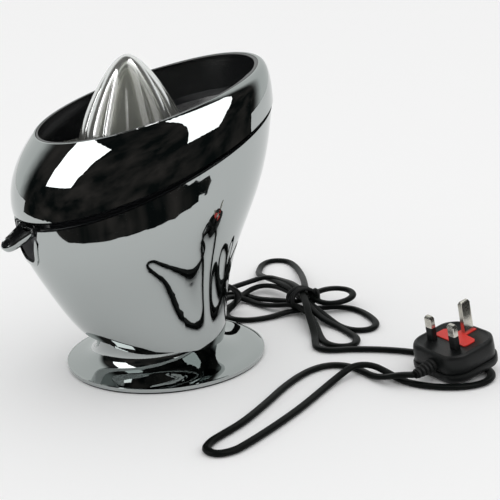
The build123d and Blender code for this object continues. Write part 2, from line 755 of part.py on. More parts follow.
def plug_outline(grow):
    with BuildSketch() as outline:
        with BuildLine():
            Polyline(
                (-18, 0), (18, 0), (25, 9), (25, 38), (16, 47), (-16, 47), (-25, 38), (-25, 9), (-18, 0)
            )
        make_face()
        fillet(outline.vertices(), 5)
        offset(amount=grow)
    return outline.sketch


def plug_block(low, high, grow):
    with BuildPart() as block:
        with BuildSketch(PLUG.offset(low)):
            add(plug_outline(grow))
        extrude(amount=high - low)
    return block


save(plug_block(0, COVER_THICK, -0.1), "plug_cover")
save(plug_block(COVER_THICK, PLUG_THICK, -1.2), "plug_body")

with BuildPart() as plug_label:
    with BuildSketch(PLUG.offset(PLUG_THICK)):
        with Locations((0, 24.8)):
            RectangleRounded(30, 14, 2)
    extrude(amount=0.3)
save(plug_label, "plug_label")


def flat_pin(side):
    with BuildPart() as pin:
        with BuildSketch(PLUG.offset(PLUG_THICK)):
            with Locations((side * PIN_SIDE, PIN_LOW)):
                Rectangle(5.35, 3.0)
        extrude(amount=SLEEVE)
        with BuildSketch(PLUG.offset(PLUG_THICK + SLEEVE)):
            with Locations((side * PIN_SIDE, PIN_LOW)):
                Rectangle(6.35, 4.0)
        extrude(amount=FLAT_LONG - SLEEVE)
    return pin


save(flat_pin(-1), "line_pin")
save(flat_pin(1), "neutral_pin")

with BuildPart() as pin_sleeves:
    with BuildSketch(PLUG.offset(PLUG_THICK)):
        with Locations((-PIN_SIDE, PIN_LOW), (PIN_SIDE, PIN_LOW)):
            Rectangle(6.35, 4.0)
            Rectangle(5.35, 3.0, mode=Mode.SUBTRACT)
    extrude(amount=SLEEVE)
save(pin_sleeves, "pin_sleeves")

with BuildPart() as earth_pin:
    with BuildSketch(PLUG.offset(PLUG_THICK)):
        with Locations((0, PIN_EARTH)):
            Rectangle(4.0, 8.0)
    extrude(amount=EARTH_LONG)
save(earth_pin, "earth_pin")

relief_root = PLUG.from_local_coords((RELIEF_SIDE, 0.1, RELIEF_HIGH))
relief_tip = PLUG.from_local_coords((RELIEF_SIDE, -RELIEF_LONG, RELIEF_HIGH))
with BuildPart() as plug_relief:
    for point, radius in ((relief_root, 5.0), (relief_tip, 3.4)):
        with BuildSketch(Plane(origin=point, x_dir=plug_u, z_dir=-PLUG.y_dir)):
            Circle(radius)
    loft()
save(plug_relief, "plug_relief")

# The lead: from the gland to the hank, then from the hank, under the plug, out in a long
# fold and back to the plug. Points are where straight runs would meet.
LAY = CORD_D / 2       # height of the lead's centre where it lies flat
gland_tip = GLAND.from_local_coords((0, 0, GLAND_REACH))
LEAD_ROUTE = [
    tuple(gland_tip), tuple(gland_tip + GLAND_OUT * 12), (-36, 75.8, 27), (-38.6, 83, 17.8),
    (-39.6, 86.5, 8.5),
]
TAIL_ROUTE = [
    (44, 105, LAY), (52, 95, LAY), (62, 90, LAY), (72, 94, LAY), (81, 111, LAY), (103, 134, LAY),
    (131, 150, LAY), (155, 160, LAY), (174, 157, LAY), (183, 144, LAY), (181, 128, LAY),
    (168, 111, LAY), (150, 101, LAY), (134, 100, 3.6), (122, 95, 7.3), (115, 84, 7.3),
    (118, 69, 3.4), (127, 50, LAY), (142, 23, LAY), (155.5, -7, LAY), (164.5, -30, LAY),
    (167.3, -45, LAY), (163, -53.5, LAY), (155.5, -51.5, LAY), (148, -39, LAY), (137, -16, LAY),
    (122, 10, LAY), (105, 36, LAY), (94, 60, LAY), (93, 77, LAY), (101, 87, LAY), (114, 90.5, LAY),
    (128, 90, LAY), (140, 92, 4.6), (149, 97, 8.2), tuple(relief_tip),
]


def corner_radii(route):
    """The largest arc that each corner's two runs leave room for."""
    points = [Vector(*p) for p in route]
    radii = []
    for before, corner, after in zip(points, points[1:], points[2:]):
        turn = (corner - before).get_angle(after - corner)
        shorter = min((corner - before).length, (after - corner).length)
        radii.append(0.45 * shorter / tan(radians(turn / 2)))
    return radii


def lead(route, name):
    radii = corner_radii(route)
    with BuildPart() as tube:
        with BuildLine():
            path = FilletPolyline(*route, radius=radii)
        with BuildSketch(Plane(origin=path @ 0, z_dir=path % 0)):
            Circle(CORD_D / 2)
        sweep()
    expected = path.length * 3.14159 * CORD_D ** 2 / 4
    print(name, "length %.0f" % path.length, "volume ratio %.3f" % (tube.part.volume / expected))
    print(name, "radii", " ".join("%.0f" % r for r in radii))
    save(tube, name)


lead(LEAD_ROUTE, "cord_lead")
lead(TAIL_ROUTE, "cord_tail")

with BuildPart() as cord_hank:
    with BuildSketch(Plane.XY):
        SlotCenterPoint((-30, 96), (2, 128), 27)
    extrude(amount=18)
    with BuildSketch(Plane.XY):
        with BuildLine():
            Polyline(
                (-8, 116), (-40, 161), (-28, 179), (2, 168), (46, 160), (73, 123), (68, 99), (40, 99),
                (-8, 116),
            )
        make_face()
    extrude(amount=11)
    with BuildSketch(Plane.XY):
        with BuildLine():
            Polyline((-36, 129), (-105, 138), (-148, 182), (-140, 195), (-30, 163), (-36, 129))
        make_face()
    extrude(amount=5.6)
save(cord_hank, "cord_hank")
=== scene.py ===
import json
import math

import bpy
from mathutils import Matrix, Vector

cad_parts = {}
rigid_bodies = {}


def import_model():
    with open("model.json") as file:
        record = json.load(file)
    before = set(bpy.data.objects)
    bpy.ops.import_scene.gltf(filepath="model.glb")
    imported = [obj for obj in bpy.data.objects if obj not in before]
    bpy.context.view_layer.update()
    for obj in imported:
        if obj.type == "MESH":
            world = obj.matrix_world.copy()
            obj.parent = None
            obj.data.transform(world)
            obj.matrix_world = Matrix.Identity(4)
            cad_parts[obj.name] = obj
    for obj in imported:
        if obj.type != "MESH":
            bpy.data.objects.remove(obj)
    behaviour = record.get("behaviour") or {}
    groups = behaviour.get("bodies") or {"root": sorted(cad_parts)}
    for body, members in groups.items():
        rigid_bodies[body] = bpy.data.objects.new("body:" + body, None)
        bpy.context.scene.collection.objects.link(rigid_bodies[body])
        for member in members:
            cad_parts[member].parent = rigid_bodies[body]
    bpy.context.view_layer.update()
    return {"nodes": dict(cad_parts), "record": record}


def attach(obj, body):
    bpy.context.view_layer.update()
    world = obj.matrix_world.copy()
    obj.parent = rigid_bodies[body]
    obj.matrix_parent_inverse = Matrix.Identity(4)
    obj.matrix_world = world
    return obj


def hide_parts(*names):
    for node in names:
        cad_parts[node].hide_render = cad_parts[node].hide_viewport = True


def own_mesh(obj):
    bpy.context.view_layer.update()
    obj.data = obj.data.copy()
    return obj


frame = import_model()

MM = 0.001
TAU = 2 * math.pi

# ---------------------------------------------------------------- sizes shared with the CAD
DRIVE_Y = -11.7
HINGE_Y, HINGE_Z = -93.5, 114.0
SPOUT_DROP = math.radians(30.0)
REAMER_BASE = 160.0


# ---------------------------------------------------------------- mesh helpers
def quads_between(rings, closed=True):
    """Faces that join each ring of points to the next."""
    count = len(rings[0])
    faces = []
    for j in range(len(rings) - 1):
        for k in range(count if closed else count - 1):
            a, b = j * count + k, j * count + (k + 1) % count
            faces.append((a, b, b + count, a + count))
    return faces


def new_piece(name, points, faces, body, slot, material, replaced=(), sharp=None):
    """A mesh piece, smooth shaded, that rides on a CAD body and stands for the replaced nodes."""
    mesh = bpy.data.meshes.new(name)
    mesh.from_pydata([tuple(Vector(p) * MM) for p in points], [], faces)
    mesh.validate()
    mesh.update()
    mesh.shade_smooth()
    obj = bpy.data.objects.new(name, mesh)
    bpy.context.scene.collection.objects.link(obj)
    mesh.materials.append(material)
    if sharp is not None:
        mesh.set_sharp_from_angle(angle=math.radians(sharp))
    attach(obj, body)
    if replaced:
        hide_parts(*replaced)
    return obj


def ring_piece(name, rings, *args, caps=(False, False), **more):
    """A piece skinned through rings, with its first or last ring filled where caps says so."""
    points = [p for ring in rings for p in ring]
    faces = quads_between(rings)
    count = len(rings[0])
    if caps[0]:
        faces.append(tuple(reversed(range(count))))
    if caps[1]:
        faces.append(tuple(range(len(points) - count, len(points))))
    return new_piece(name, points, faces, *args, **more)


# ---------------------------------------------------------------- materials
def node_material(name, colour, rough, metal=0.0, rough_vary=0.03, bump=0.02, grain=900.0, **sockets):
    """Principled material whose roughness and surface vary by noise at the scale given by grain."""
    material = bpy.data.materials.new(name)
    material.use_nodes = True
    nodes, links = material.node_tree.nodes, material.node_tree.links
    shader = nodes["Principled BSDF"]
    shader.inputs["Base Color"].default_value = (*colour, 1)
    shader.inputs["Metallic"].default_value = metal
    for socket, value in sockets.items():
        shader.inputs[socket.replace("_", " ")].default_value = value
    place = nodes.new("ShaderNodeTexCoord")
    noise = nodes.new("ShaderNodeTexNoise")
    noise.inputs["Scale"].default_value = grain
    noise.inputs["Detail"].default_value = 4.0
    links.new(place.outputs["Object"], noise.inputs["Vector"])
    spread = nodes.new("ShaderNodeMapRange")
    spread.inputs["To Min"].default_value = max(rough - rough_vary, 0.0)
    spread.inputs["To Max"].default_value = rough + rough_vary
    links.new(noise.outputs["Fac"], spread.inputs["Value"])
    links.new(spread.outputs["Result"], shader.inputs["Roughness"])
    if bump:
        relief = nodes.new("ShaderNodeBump")
        relief.inputs["Strength"].default_value = bump
        relief.inputs["Distance"].default_value = 0.0005
        links.new(noise.outputs["Fac"], relief.inputs["Height"])
        links.new(relief.outputs["Normal"], shader.inputs["Normal"])
    return material


MATERIALS = {
    "chrome": node_material(
        "chrome", (0.42, 0.445, 0.44), 0.02, metal=1.0, rough_vary=0.012, bump=0.0, grain=60.0,
    ),
    "black_gloss": node_material(
        "black_gloss", (0.010, 0.011, 0.012), 0.26, rough_vary=0.03, bump=0.0, grain=40.0,
        Specular_IOR_Level=0.9,
    ),
    "charcoal": node_material("charcoal", (0.12, 0.12, 0.125), 0.4, rough_vary=0.06, bump=0.05, grain=500.0),
    "clear_plastic": node_material(
        "clear_plastic", (0.60, 0.61, 0.56), 0.1, rough_vary=0.03, bump=0.0, grain=60.0,
        Transmission_Weight=0.86, IOR=1.45,
    ),
    "rubber": node_material("rubber", (0.006, 0.007, 0.007), 0.6, bump=0.25, Specular_IOR_Level=0.3),
    "cord_pvc": node_material(
        "cord_pvc", (0.003, 0.004, 0.0035), 0.4, rough_vary=0.08, bump=0.12, grain=1400.0,
        Specular_IOR_Level=0.08,
    ),
    "plug_black": node_material(
        "plug_black", (0.005, 0.006, 0.006), 0.4, rough_vary=0.06, bump=0.3, grain=1800.0,
        Specular_IOR_Level=0.28,
    ),
    "plug_red": node_material(
        "plug_red", (0.72, 0.025, 0.015), 0.5, rough_vary=0.08, bump=0.1, grain=1200.0,
    ),
    "pin_brass": node_material(
        "pin_brass", (0.62, 0.60, 0.54), 0.22, metal=1.0, rough_vary=0.08, grain=700.0,
    ),
    "steel": node_material("steel", (0.55, 0.55, 0.57), 0.3, metal=1.0, rough_vary=0.1, grain=700.0),
    "copper": node_material("copper", (0.55, 0.24, 0.10), 0.35, metal=0.7, grain=1500.0),
    "nylon": node_material("nylon", (0.80, 0.78, 0.70), 0.45, grain=900.0),
    "grey_plastic": node_material("grey_plastic", (0.10, 0.10, 0.105), 0.5, grain=900.0, bump=0.1),
}
slot_of = {row["node"]: row["material_slot"] for row in frame["record"]["subparts"]}
for node_name, node in frame["nodes"].items():
    look = "charcoal" if node_name == "pocket_insert" else slot_of[node_name]
    node.data.materials.clear()
    node.data.materials.append(MATERIALS[look])

# ---------------------------------------------------------------- lead
HANK_ROUTE = [
    # from the gland, down behind the body and round to the tie
    (-26.8, 54.8, 32), (-31.6, 65.8, 32), (-37, 77, 26), (-43, 88, 16), (-49, 87, 6), (-46, 75, 2),
    (-31, 71, 2), (-19, 81, 2), (-14, 98, 2), (-14, 113, 3), (-8, 126, 4),
    # big loop on the right
    (-2, 138, 4), (2, 152, 3), (14, 161, 2), (35, 159, 2), (51, 153, 2), (57, 142, 2), (50, 131, 2),
    (36, 128, 2), (20, 130, 3), (0, 130, 7), (-16, 130, 10),
    # left along the thick bundle, round behind the body and back
    (-38, 131, 10), (-60, 133, 8), (-75, 129, 6), (-76, 118, 5), (-66, 101, 4), (-54, 87, 3), (-53, 74, 2),
    (-62, 64, 2), (-76, 68, 2), (-87, 84, 2), (-86, 103, 2), (-74, 110, 2), (-56, 111, 3), (-38, 119, 5),
    (-20, 125, 7),
    # narrow loop on the right
    (-13, 133, 10), (-18, 146, 12), (-17, 160, 12), (-8, 169, 11), (4, 166, 10), (9, 154, 9), (4, 142, 8),
    (-6, 136, 9),
    # far loop lying behind
    (-24, 138, 13), (-50, 154, 10), (-88, 175, 4), (-117, 187, 2), (-132, 188, 2), (-141, 179, 2),
    (-137, 166, 2), (-124, 155, 2), (-106, 143, 5), (-82, 137, 9), (-58, 134, 12), (-34, 131, 14),
    (-14, 128, 12),
    # lower loop on the right
    (6, 124, 8), (22, 124, 4), (38, 127, 2), (52, 126, 2), (66, 124, 2), (75, 114, 2), (70, 103, 2),
    (58, 100, 2), (44, 105, 2), (27, 113, 4), (6, 120, 7),
    # left again and back
    (-14, 120, 8), (-32, 110, 4), (-48, 106, 2), (-62, 104, 3), (-68, 94, 6), (-60, 80, 7), (-64, 67, 6),
    (-76, 66, 6), (-84, 78, 5), (-83, 98, 7), (-82, 118, 9), (-78, 134, 12), (-62, 138, 12), (-40, 136, 15),
    (-18, 130, 16), (4, 120, 14), (20, 112, 9),
]
LAY = 2.1  # height of the lead's middle where it lies on the floor
TAIL_ROUTE = [
    # out of the hank, under the plug's raised end and round its right side
    (34, 106, 5), (44, 101, 2.4), (53, 95, LAY), (62, 90, LAY), (72, 94, LAY), (81, 111, LAY),
    (103, 134, LAY), (131, 150, LAY), (155, 160, LAY), (174, 157, LAY), (183, 144, LAY), (181, 128, LAY),
    # over the lead's last stretch, then out to the front
    (168, 111, LAY), (150, 101, LAY), (134, 100, 3.6), (122, 95, 7.3), (115, 84, 7.3), (118, 69, 3.4),
    (127, 50, LAY), (142, 23, LAY), (155.5, -7, LAY), (164.5, -30, LAY), (167.5, -40, LAY),
    # the fold, and back to the plug
    (165.5, -51, LAY), (156, -54, LAY), (148, -45.5, LAY), (143, -32, LAY), (137, -16, LAY),
    (122, 10, LAY), (105, 36, LAY), (94, 60, LAY), (93, 77, LAY), (101, 87, LAY), (114, 90.5, LAY),
    (128, 90, LAY), (140, 92, 4.6), (149, 97, 8.2),
]
LEAD_WIDTH, LEAD_THICK = 5.6, 3.4


def plug_frame():
    """The plug's own axes: u across it, v along it away from its lead, n out of its pin face."""
    turn, tilt = math.radians(2.5), math.radians(10.0)
    u = Vector((math.cos(turn), math.sin(turn), 0))
    v = Vector((-math.sin(turn), math.cos(turn), 0))
    n = v * -math.sin(tilt) + Vector((0, 0, 1)) * math.cos(tilt)
    return Vector((151.1, 122.3, 0.4)), u, n.cross(u), n


PLUG_AT, PLUG_U, PLUG_V, PLUG_N = plug_frame()
RELIEF_SIDE, RELIEF_HIGH, RELIEF_LONG = 2.7, 10.0, 15.0
RELIEF_RIBS, RELIEF_PITCH, RELIEF_START = 4, 3.0, 2.2
RELIEF_RADIUS, RELIEF_TAPER, RELIEF_GROOVE = 5.2, 0.45, 1.3
RELIEF_FLATNESS = 0.85


def on_plug(u, v, n):
    return PLUG_AT + PLUG_U * u + PLUG_V * v + PLUG_N * n


def spline_points(route):
    """Close points along the smooth line that has the route as its control points."""
    curve = bpy.data.curves.new("route", "CURVE")
    curve.dimensions = "3D"
    curve.resolution_u = 10
    spline = curve.splines.new("NURBS")
    spline.points.add(len(route) - 1)
    for point, place in zip(spline.points, route):
        point.co = (*place, 1)
    spline.order_u = 3
    spline.use_endpoint_u = True
    holder = bpy.data.objects.new("route", curve)
    bpy.context.scene.collection.objects.link(holder)
    evaluated = holder.evaluated_get(bpy.context.evaluated_depsgraph_get())
    mesh = bpy.data.meshes.new_from_object(evaluated)
    points = [v.co.copy() for v in mesh.vertices]
    bpy.data.objects.remove(holder)
    bpy.data.meshes.remove(mesh)
    return points


def flat_lead_rings(path, corners=16):
    """Rings of a flat lead with round edges, laid with its flat side down wherever it can."""
    straight = (LEAD_WIDTH - LEAD_THICK) / 2
    profile = []
    for k in range(corners):
        a = TAU * k / corners
        side = straight if math.cos(a) > 0 else -straight
        profile.append((side + LEAD_THICK / 2 * math.cos(a), LEAD_THICK / 2 * math.sin(a)))
    rings = []
    for i, here in enumerate(path):
        ahead = path[min(i + 1, len(path) - 1)] - path[max(i - 1, 0)]
        ahead.normalize()
        across = ahead.cross(Vector((0, 0, 1)))
        across.normalize()
        up = across.cross(ahead)
        rings.append([here + across * a + up * b for a, b in profile])
    return rings


route = HANK_ROUTE + TAIL_ROUTE + [tuple(on_plug(RELIEF_SIDE, -RELIEF_LONG, RELIEF_HIGH))]
path = spline_points(route)
lead = ring_piece(
    "flat_lead", flat_lead_rings(path), "root", "cord_pvc", MATERIALS["cord_pvc"],
    ("cord_lead", "cord_tail", "cord_hank"), caps=(True, True),
)

# ---------------------------------------------------------------- tie round the hank
TIE_AT, TIE_HALF = Vector((-20.0, 129.0, 10.2)), (10.4, 8.6)
TIE_TURNS, TIE_STEPS, TIE_RADIUS, TIE_PITCH = 4, 28, 1.5, 2.2
TIE_WANDER, TIE_WANDER_RATE = 1.6, 1.7  # how far a turn strays along the hank, and how often
EYE_STEPS, EYE_SIDE, EYE_SHIFT, EYE_HIGH = 18, 4.2, 3.0, 3.6


def tie_path():
    """A wire tie: a few turns round the strands, then one end curled up into a small eye."""
    points = []
    for k in range(TIE_TURNS * TIE_STEPS):
        a = TAU * k / TIE_STEPS
        along = TIE_PITCH * k / TIE_STEPS + TIE_WANDER * math.sin(TIE_WANDER_RATE * a)
        side, high = TIE_HALF[0] * math.cos(a), TIE_HALF[1] * math.sin(a)
        points.append(TIE_AT + Vector((along, side, max(high, TIE_RADIUS - TIE_AT.z))))
    end = points[-1]
    for k in range(1, EYE_STEPS + 2):
        a = TAU * k / EYE_STEPS
        step = Vector((EYE_SIDE * math.sin(a), EYE_SHIFT * k / EYE_STEPS, EYE_HIGH * (1 - math.cos(a))))
        points.append(end + step)
    return points


def tie_piece(corners=8):
    line = tie_path()
    section = [TAU * k / corners for k in range(corners)]
    rings = []
    across = (line[1] - line[0]).normalized().orthogonal()
    for i, here in enumerate(line):
        ahead = (line[min(i + 1, len(line) - 1)] - line[max(i - 1, 0)]).normalized()
        across = (across - ahead * across.dot(ahead)).normalized()
        up = across.cross(ahead)
        rings.append([here + (across * math.cos(a) + up * math.sin(a)) * TIE_RADIUS for a in section])
    ring_piece("lead_tie", rings, "root", "rubber", MATERIALS["rubber"], caps=(True, True))


tie_piece()

# ---------------------------------------------------------------- reamers
REAMER_AXIS = Vector((0, DRIVE_Y, 0))
DOME_END, RIB_FADE = 0.2, 0.45  # shares of the bell's line: its smooth dome, and where the ribs grow
RIB_FULLNESS = 0.6


def bezier(controls, t):
    """Radius and height at t along the cubic line with these controls."""
    a = 1 - t
    weights = (a ** 3, 3 * a * a * t, 3 * a * t * t, t ** 3)
    return [sum(w * c[i] for w, c in zip(weights, controls)) for i in range(2)]


def ribbed_rings(controls, ribs, depth, wall, up=1.0, steps=40, count=240):
    """A ribbed bell from its tip down; its dome is smooth and the ribs grow below it."""
    base = controls[-1][1]
    rings = []
    for j in range(1, steps + 1):
        r, z = bezier(controls, j / steps)
        r -= wall
        z = base + (z - base) * up
        along = min(1.0, max(0.0, (j / steps - DOME_END) / RIB_FADE))
        grow = along * along * (3 - 2 * along) * depth
        ring = []
        for k in range(count):
            a = TAU * k / count
            lobe = abs(math.sin(ribs * a / 2)) ** RIB_FULLNESS
            radius = max(r - grow * (1 - lobe), 0.3)
            ring.append(REAMER_AXIS + Vector((radius * math.cos(a), radius * math.sin(a), z)))
        rings.append(ring)
    return rings


def ribbed_bell(name, controls, ribs, depth, wall, body, node):
    """A hollow ribbed bell, open below, in clear plastic."""
    outside = ribbed_rings(controls, ribs, depth, 0.0)
    top_drop = 1 - wall / (controls[0][1] - controls[-1][1])
    inside = ribbed_rings(controls, ribs, depth, wall, up=top_drop)
    rings = outside + list(reversed(inside))
    ring_piece(
        name, rings, body, "clear_plastic", MATERIALS["clear_plastic"], (node,), caps=(True, True), sharp=40,
    )


LARGE = [(0, 219.6), (13.6, 219.6), (39.2, 172), (37.7, REAMER_BASE)]
SMALL = [(0, 211.5), (7, 211.5), (22, 185), (26, 161.3)]
ribbed_bell("large_reamer_ribbed", LARGE, 12, 1.5, 1.8, "big_cone", "large_reamer")
ribbed_bell("small_reamer_ribbed", SMALL, 10, 1.2, 1.6, "cone", "small_reamer")

# ---------------------------------------------------------------- spout
SPOUT_HALF, SPOUT_LONG, SPOUT_TAPER, SPOUT_TIP_ROUND = 12.9, 22.0, 0.3, 9.0
SPOUT_BACK = 1.6  # how far out from the hinge the scoop starts
KNUCKLE_IN = 11.0
SPOUT_UP = Vector((0, -math.sin(SPOUT_DROP), math.cos(SPOUT_DROP)))
SPOUT_OUT = Vector((0, -math.cos(SPOUT_DROP), -math.sin(SPOUT_DROP)))
HINGE = Vector((0, HINGE_Y, HINGE_Z))


def spout_outline(inset, straight=10, round_steps=16):
    """Half width and distance out along one side, round the tip and back along the other."""
    straight_end = SPOUT_LONG - inset - SPOUT_TIP_ROUND
    side = []
    for k in range(straight):
        out = SPOUT_BACK + (straight_end - SPOUT_BACK) * k / straight
        side.append((SPOUT_HALF - SPOUT_TAPER * out - inset, out))
    wide = SPOUT_HALF - SPOUT_TAPER * straight_end - inset
    for k in range(round_steps + 1):
        a = math.pi / 2 * k / round_steps
        side.append((wide * math.cos(a), straight_end + SPOUT_TIP_ROUND * math.sin(a)))
    return [(-x, out) for x, out in side] + [(x, out) for x, out in reversed(side[:-1])]


def spout_piece():
    """A shallow scoop with a rolled lip: black inside, chrome outside."""
    inner = [(8.5, -2.9), (4.5, -2.9), (2.35, -2.85), (1.9, -1.4), (1.5, 0.1), (1.1, 1.0)]
    outer = [
        (0.6, 1.4), (0.15, 1.0), (0.0, 0.2), (0.3, -1.6), (1.0, -3.2), (2.4, -4.1), (4.5, -4.4), (8.5, -4.4),
    ]
    rings = []
    for inset, up in inner + outer:
        rings.append([HINGE + Vector((x, 0, 0)) + SPOUT_OUT * out + SPOUT_UP * up
                      for x, out in spout_outline(inset)])
    count = len(rings[0])
    sides = quads_between(rings, closed=False)
    last = (len(rings) - 1) * count
    floor, underside = [], []
    for k in range(count // 2):
        floor.append((k, k + 1, count - 2 - k, count - 1 - k))
        underside.append((last + k, last + count - 1 - k, last + count - 2 - k, last + k + 1))
    starts = [j * count for j in range(len(rings))]
    back = tuple(starts + [start + count - 1 for start in reversed(starts)])
    black_faces = len(floor) + (len(inner) - 1) * (count - 1)
    # where an outline's two halves meet, a face names one point twice
    faces = [tuple(dict.fromkeys(face)) for face in floor + sides + underside + [back]]
    kept = [(i, face) for i, face in enumerate(faces) if len(face) > 2]
    points = [p for ring in rings for p in ring]
    scoop = new_piece(
        "spout_scoop", points, [face for _, face in kept], "spout", "chrome", MATERIALS["chrome"],
        ("spout",), sharp=50,
    )
    scoop.data.materials.append(MATERIALS["black_gloss"])
    for polygon, (i, _) in zip(scoop.data.polygons, kept):
        if i < black_faces:
            polygon.material_index = 1


def spout_knuckles(corners=32):
    """The two eyes by which the spout turns on its pins."""
    profile = [(1.3, 0.0), (2.1, 0.0), (2.4, 0.3), (2.4, 1.6), (2.1, 1.9), (1.3, 1.9), (1.3, 0.0)]
    section = [TAU * k / corners for k in range(corners)]
    for side, label in ((-1, "left"), (1, "right")):
        rings = []
        for radius, along in profile:
            x = side * (KNUCKLE_IN + along)
            rings.append([
                HINGE + Vector((x, radius * math.cos(a), radius * math.sin(a) * side)) for a in section
            ])
        ring_piece(f"spout_knuckle_{label}", rings, "spout", "chrome", MATERIALS["chrome"], sharp=50)


spout_piece()
spout_knuckles()

# ---------------------------------------------------------------- plug
PLUG_WIDE, PLUG_TALL, PLUG_THICK, COVER_THICK = 50.0, 47.0, 19.0, 6.0
PLUG_FOOT, PLUG_CUT = 36.0, 9.0  # width of the edge that the lead enters, and how deep the corners are cut
PIN_SIDE, PIN_LOW, PIN_EARTH = 11.11, 15.0, 37.2
PIN_FOOT = 18.6  # just under the plug's face
SLEEVE_TOP, PIN_TOP, EARTH_TOP = 28.5, 36.7, 41.7


def plug_outline(inset, radius=5.0, steps=5):
    """The plug's rounded shield outline, drawn in by inset, with rounded corners."""
    half = PLUG_WIDE / 2
    right = [
        (PLUG_FOOT / 2, 0), (half, PLUG_CUT), (half, PLUG_TALL - PLUG_CUT), (half - PLUG_CUT, PLUG_TALL),
    ]
    corners = [(-right[0][0], 0)] + right + [(-u, v) for u, v in reversed(right[1:])]
    middle = Vector((0, PLUG_TALL / 2))
    points = []
    for i, corner in enumerate(corners):
        here = Vector(corner)
        before = (Vector(corners[i - 1]) - here).normalized()
        after = (Vector(corners[(i + 1) % len(corners)]) - here).normalized()
        a, b = here + before * radius, here + after * radius
        for k in range(steps + 1):
            t = k / steps
            p = a.lerp(here, t).lerp(here.lerp(b, t), t)
            away = p - middle
            points.append(middle + away * (1 - inset / away.length))
    return points


def plug_rings(levels):
    """The plug's outline at each inset and height."""
    return [[on_plug(p.x, p.y, height) for p in plug_outline(inset)] for inset, height in levels]


ring_piece(
    "plug_back",
    plug_rings([
        (2.2, 0.0), (0.8, 0.4), (0.1, 1.5), (0.0, 3.0), (0.1, 5.0), (0.5, 5.8), (1.6, COVER_THICK),
    ]),
    "root", "plug_black", MATERIALS["plug_black"], ("plug_cover",), caps=(True, True), sharp=50,
)
ring_piece(
    "plug_front",
    plug_rings([
        (2.4, 5.6), (1.5, 6.2), (1.2, 6.6), (1.2, 12.0), (1.5, 16.5), (1.9, 18.0), (2.8, 18.8),
        (4.2, PLUG_THICK), (4.6, 18.6),
    ]),
    "root", "plug_black", MATERIALS["plug_black"], ("plug_body",), caps=(True, True), sharp=50,
)


def pin_rings(u, v, wide, deep, low, high, chamfer):
    """A flat pin or sleeve: its section with small corners, and its end drawn in by chamfer."""
    corners = [(-1, -0.8), (-0.85, -1), (0.85, -1), (1, -0.8), (1, 0.8), (0.85, 1), (-0.85, 1), (-1, 0.8)]

    def ring(w, d, n):
        return [on_plug(u + a * w / 2, v + b * d / 2, n) for a, b in corners]

    shoulder = high - chamfer
    return [ring(wide, deep, low), ring(wide, deep, shoulder), ring(wide - chamfer, deep - chamfer, high)]


def plug_pins():
    brass, black = MATERIALS["pin_brass"], MATERIALS["plug_black"]
    for side, node in ((-1, "line_pin"), (1, "neutral_pin")):
        u = side * PIN_SIDE
        ring_piece(
            node + "_blade", pin_rings(u, PIN_LOW, 6.35, 4.0, SLEEVE_TOP - 0.3, PIN_TOP, 1.6),
            "root", "pin_brass", brass, (node,), caps=(True, True), sharp=30,
        )
        ring_piece(
            node + "_sleeve", pin_rings(u, PIN_LOW, 6.45, 4.1, PIN_FOOT, SLEEVE_TOP, 0.15),
            "root", "plug_black", black, ("pin_sleeves",), caps=(True, True), sharp=30,
        )
    ring_piece(
        "earth_pin_blade", pin_rings(0, PIN_EARTH, 4.0, 8.0, PIN_FOOT, EARTH_TOP, 1.8),
        "root", "pin_brass", brass, ("earth_pin",), caps=(True, True), sharp=30,
    )


plug_pins()


def label_piece():
    """A red label: a bar between the two lower pins with a tongue up to the earth pin."""
    right = [(14, 20), (15, 22), (15, 29), (13, 31), (4, 32), (3.5, 42)]
    outline = [(-14, 20)] + right + [(-u, v) for u, v in reversed(right[1:])]
    rings = [[on_plug(u, v, n) for u, v in outline] for n in (PIN_FOOT, PLUG_THICK + 0.25)]
    ring_piece(
        "plug_face_label", rings, "root", "plug_red", MATERIALS["plug_red"], ("plug_label",),
        caps=(True, True), sharp=30,
    )


label_piece()


def relief_rings(corners=28):
    """The ribbed relief where the lead enters the plug; it is a little flatter than round."""
    profile = [(0.5, 5.4), (-1.5, 5.4)]
    for k in range(RELIEF_RIBS):
        start = -RELIEF_START - RELIEF_PITCH * k
        big = RELIEF_RADIUS - RELIEF_TAPER * k
        small = big - RELIEF_GROOVE
        profile += [
            (start, small), (start - 0.5, small), (start - 0.8, big), (start - 2.2, big - 0.1),
            (start - 2.6, small),
        ]
    profile.append((-RELIEF_LONG, 3.2))
    rings = []
    for v, radius in profile:
        ring = []
        for k in range(corners):
            a = TAU * k / corners
            side, high = radius * math.cos(a), RELIEF_FLATNESS * radius * math.sin(a)
            ring.append(on_plug(RELIEF_SIDE + side, v, RELIEF_HIGH + high))
        rings.append(ring)
    return rings


ring_piece(
    "plug_lead_relief", relief_rings(), "root", "rubber", MATERIALS["rubber"], ("plug_relief",),
    caps=(True, True), sharp=35,
)
plug_pieces = [o for o in bpy.context.scene.objects if o.name.startswith("plug_") and not o.hide_render]
plug_pieces += [bpy.data.objects[name] for name in (
    "line_pin_blade", "neutral_pin_blade", "line_pin_sleeve", "neutral_pin_sleeve", "earth_pin_blade")]

# ---------------------------------------------------------------- return spring
SPRING_LOW, SPRING_HIGH, SPRING_RADIUS, SPRING_PITCH, WIRE_RADIUS = 54.0, 70.0, 4.5, 3.0, 0.45
SPRING_CLEAR = 0.5  # from the middle of the wire to either seat


